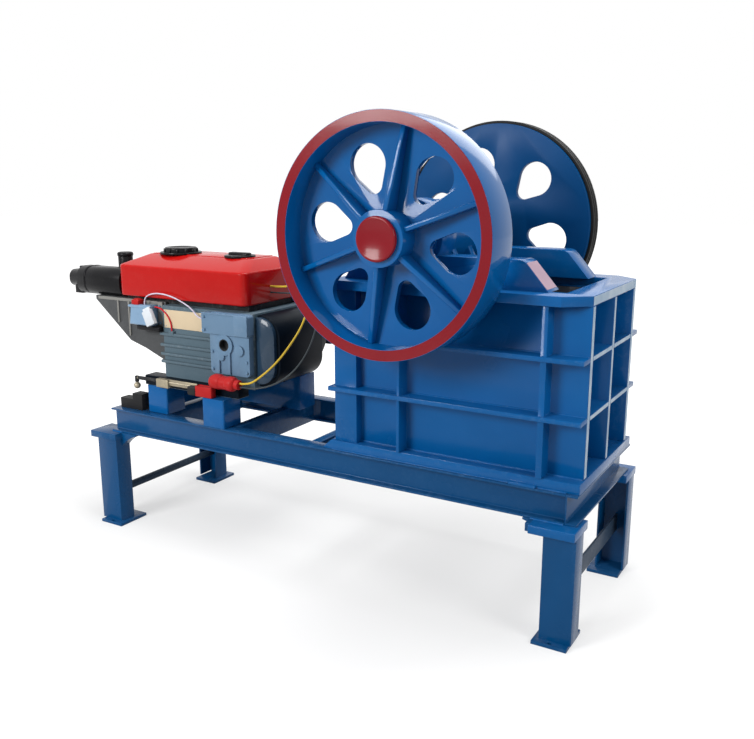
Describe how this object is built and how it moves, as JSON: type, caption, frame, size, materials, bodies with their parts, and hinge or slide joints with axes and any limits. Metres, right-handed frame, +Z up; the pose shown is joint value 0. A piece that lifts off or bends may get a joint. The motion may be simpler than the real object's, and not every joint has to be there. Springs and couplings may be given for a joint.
{
  "type": "jaw crusher with diesel engine on a steel stand",
  "caption": "Stone jaw crusher with two spoked flywheels, belt driven by a small diesel engine, both mounted on a raised steel skid on four legs.",
  "frame": {"origin": "middle of the whole machine's box at the floor", "axes": "+X along the skid from the engine to the crusher's ribbed end, +Y across from the near flywheel to the belt side, +Z up"},
  "size_m": [2.987, 1.318, 2.1242],
  "materials": {
    "blue_paint": "glossy enamel",
    "grey_paint": "satin enamel",
    "red_paint": "glossy enamel",
    "jaw_steel": "as cast manganese steel",
    "machined_steel": "turned",
    "engine_grey": "painted casting",
    "hood_red": "glossy enamel",
    "black_plastic": "satin",
    "filter_blue": "satin enamel",
    "black_iron": "painted black",
    "belt_rubber": "matte",
    "brass": "worn plating",
    "red_rubber": "satin",
    "black_rubber": "matte",
    "yellow_cable": "satin",
    "grey_cable": "satin",
    "red_hose": "satin",
    "white_cable": "satin"
  },
  "bodies": {
    "main_frame": {"air_cleaner": "black_plastic", "back_wall": "blue_paint", "base_flange": "blue_paint", "cable_boot": "red_rubber", "cheek_plates": "jaw_steel", "cross_beams": "blue_paint", "cylinder_head": "engine_grey", "drive_belts": "belt_rubber", "engine_blocks": "blue_paint", "engine_crankcase": "engine_grey", "engine_flywheel": "black_iron", "engine_hood": "hood_red", "engine_pulley": "black_iron", "far_bearing_stand": "blue_paint", "far_left_leg": "blue_paint", "far_rail": "blue_paint", "far_right_leg": "blue_paint", "far_side_wall": "blue_paint", "filler_caps": "black_plastic", "fixed_jaw_plate": "jaw_steel", "front_wall": "blue_paint", "fuel_filter": "filter_blue", "fuel_hose": "red_hose", "gear_cover": "engine_grey", "grey_cable": "grey_cable", "hand_lever": "brass", "leg_braces": "grey_paint", "moving_jaw": "blue_paint", "moving_jaw_plate": "jaw_steel", "near_bearing_stand": "blue_paint", "near_left_leg": "blue_paint", "near_rail": "blue_paint", "near_right_leg": "blue_paint", "near_side_wall": "blue_paint", "pale_cable": "white_cable", "rubber_pad": "black_rubber", "tension_rod": "machined_steel", "toggle_block": "blue_paint", "toggle_plate": "jaw_steel", "top_flange": "blue_paint", "yellow_cable": "yellow_cable"},
    "flywheel_rotor": {"crusher_shaft": "machined_steel", "near_flywheel": "blue_paint", "far_flywheel": "blue_paint", "hub_caps": "red_paint"}
  },
  "joints": [
    {"name": "flywheel_spin", "type": "hinge", "parent": "main_frame", "child": "flywheel_rotor", "pos_m": [0.6865, -0.037, 1.622], "axis": [0, 1, 0], "continuous": true}
  ]
}
